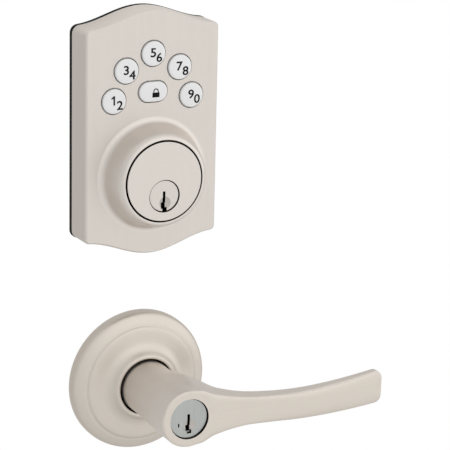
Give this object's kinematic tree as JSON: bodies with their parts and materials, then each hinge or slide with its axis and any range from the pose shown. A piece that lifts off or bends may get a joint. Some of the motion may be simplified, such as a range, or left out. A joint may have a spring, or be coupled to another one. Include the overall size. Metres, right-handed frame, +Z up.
{
  "type": "keypad smart lock",
  "caption": "Keypad deadbolt with an arched cover and round two-digit keys, a keyed lever below it, and the bolt, latch and inside halves for a door.",
  "frame": {"origin": "on the deadbolt key plug's axis, at the door's outer face", "axes": "+X right as seen from outside, away from the door's edge; +Y into the door, square to its face; +Z up"},
  "size_m": [0.18, 0.1746, 0.2473],
  "materials": {
    "satin_nickel": "satin",
    "steel": "zinc plated",
    "brass": "machined",
    "seal_rubber": "matte",
    "key_white": "semi gloss",
    "cast_chassis": "cast",
    "black_plastic": "fine texture",
    "circuit_board": "solder mask",
    "cell_wrap": "printed film"
  },
  "bodies": {
    "lock_body": {"exterior_housing": "satin_nickel", "deadbolt_cylinder": "satin_nickel", "deadbolt_faceplate": "satin_nickel", "interior_cover": "satin_nickel", "exterior_rose": "satin_nickel", "latch_faceplate": "satin_nickel", "interior_rose": "satin_nickel", "chassis_screws": "steel", "pin_springs": "steel", "deadbolt_tube": "steel", "deadbolt_case": "steel", "interior_plate": "steel", "through_screws": "steel", "battery_contacts": "steel", "gear_motor": "steel", "cover_screws": "steel", "exterior_rose_liner": "steel", "exterior_return_spring": "steel", "latch_tube": "steel", "latch_case": "steel", "latch_spring": "steel", "interior_rose_liner": "steel", "interior_return_spring": "steel", "lever_screws": "steel", "driver_pins": "brass", "exterior_gasket": "seal_rubber", "keypad_membrane": "seal_rubber", "exterior_chassis": "cast_chassis", "interior_chassis": "black_plastic", "keypad_cable": "black_plastic", "keypad_circuit_board": "circuit_board", "interior_circuit_board": "circuit_board", "batteries": "cell_wrap"},
    "outside_lever": {"exterior_lever": "satin_nickel", "lever_cylinder": "satin_nickel", "exterior_drive_tube": "steel", "drive_bar": "steel", "latch_cam": "brass"},
    "outside_lever_plug": {"lever_plug": "satin_nickel"},
    "inside_lever": {"interior_lever": "satin_nickel", "interior_drive_tube": "steel"},
    "inside_turn_button": {"turn_button": "satin_nickel", "locking_bar": "brass"},
    "latch": {"latch_bolt": "steel"},
    "deadbolt": {"deadbolt_bolt": "steel"},
    "key_plug": {"deadbolt_plug": "satin_nickel", "key_pins": "brass", "cylinder_clip": "steel"},
    "thumbturn_shaft": {"thumbturn": "satin_nickel", "turn_gear": "key_white", "torque_blade": "steel", "deadbolt_cam": "brass"},
    "motor_gear": {"drive_gear": "brass"},
    "battery_door": {"battery_cover": "black_plastic"},
    "key_1_2": {"button_1_2": "key_white"},
    "key_3_4": {"button_3_4": "key_white"},
    "key_5_6": {"button_5_6": "key_white"},
    "key_7_8": {"button_7_8": "key_white"},
    "key_9_0": {"button_9_0": "key_white"},
    "key_lock": {"lock_button": "key_white"}
  },
  "joints": [
    {"name": "key_1_2_press", "type": "slide", "parent": "lock_body", "child": "key_1_2", "axis": [0, 1, 0], "range_m": [0, 0.0008], "stiffness_N_per_m": 1200, "springref_m": -0.0006},
    {"name": "key_3_4_press", "type": "slide", "parent": "lock_body", "child": "key_3_4", "axis": [0, 1, 0], "range_m": [0, 0.0008], "stiffness_N_per_m": 1200, "springref_m": -0.0006},
    {"name": "key_5_6_press", "type": "slide", "parent": "lock_body", "child": "key_5_6", "axis": [0, 1, 0], "range_m": [0, 0.0008], "stiffness_N_per_m": 1200, "springref_m": -0.0006},
    {"name": "key_7_8_press", "type": "slide", "parent": "lock_body", "child": "key_7_8", "axis": [0, 1, 0], "range_m": [0, 0.0008], "stiffness_N_per_m": 1200, "springref_m": -0.0006},
    {"name": "key_9_0_press", "type": "slide", "parent": "lock_body", "child": "key_9_0", "axis": [0, 1, 0], "range_m": [0, 0.0008], "stiffness_N_per_m": 1200, "springref_m": -0.0006},
    {"name": "key_lock_press", "type": "slide", "parent": "lock_body", "child": "key_lock", "axis": [0, 1, 0], "range_m": [0, 0.0008], "stiffness_N_per_m": 1200, "springref_m": -0.0006},
    {"name": "key_plug_turn", "type": "hinge", "parent": "lock_body", "child": "key_plug", "pos_m": [0, -0.02, 0], "axis": [0, 1, 0], "range_deg": [-90, 90]},
    {"name": "thumbturn_turn", "type": "hinge", "parent": "lock_body", "child": "thumbturn_shaft", "pos_m": [0, 0.03, 0], "axis": [0, 1, 0], "range_deg": [0, 90]},
    {"name": "deadbolt_throw", "type": "slide", "parent": "lock_body", "child": "deadbolt", "axis": [-1, 0, 0], "range_m": [0, 0.0254]},
    {"name": "motor_gear_spin", "type": "hinge", "parent": "lock_body", "child": "motor_gear", "pos_m": [0, 0.054, 0.0252], "axis": [0, 1, 0], "range_deg": [-225, 0]},
    {"name": "battery_door_slide", "type": "slide", "parent": "lock_body", "child": "battery_door", "axis": [0, 0, 1], "range_m": [0, 0.067]},
    {"name": "outside_lever_turn", "type": "hinge", "parent": "lock_body", "child": "outside_lever", "pos_m": [0, -0.03, -0.1016], "axis": [0, 1, 0], "range_deg": [0, 50], "stiffness_Nm_per_rad": 0.8, "springref_deg": -51.57},
    {"name": "inside_lever_turn", "type": "hinge", "parent": "lock_body", "child": "inside_lever", "pos_m": [0, 0.07, -0.1016], "axis": [0, 1, 0], "range_deg": [0, 50]},
    {"name": "latch_retract", "type": "slide", "parent": "lock_body", "child": "latch", "axis": [1, 0, 0], "range_m": [0, 0.0127], "deforming": ["latch_spring"]},
    {"name": "lever_key_turn", "type": "hinge", "parent": "outside_lever", "child": "outside_lever_plug", "pos_m": [0, -0.05, -0.1016], "axis": [0, 1, 0], "range_deg": [-90, 90]},
    {"name": "turn_button_turn", "type": "hinge", "parent": "inside_lever", "child": "inside_turn_button", "pos_m": [0, 0.1, -0.1016], "axis": [0, 1, 0], "range_deg": [0, 90]}
  ],
  "couplings": [
    {"joint": "deadbolt_throw", "follows": "thumbturn_turn", "m_per_rad": 0.01617},
    {"joint": "motor_gear_spin", "follows": "thumbturn_turn", "ratio": -2.5},
    {"joint": "inside_lever_turn", "follows": "outside_lever_turn", "ratio": 1},
    {"joint": "latch_retract", "follows": "outside_lever_turn", "m_per_rad": 0.014553}
  ]
}
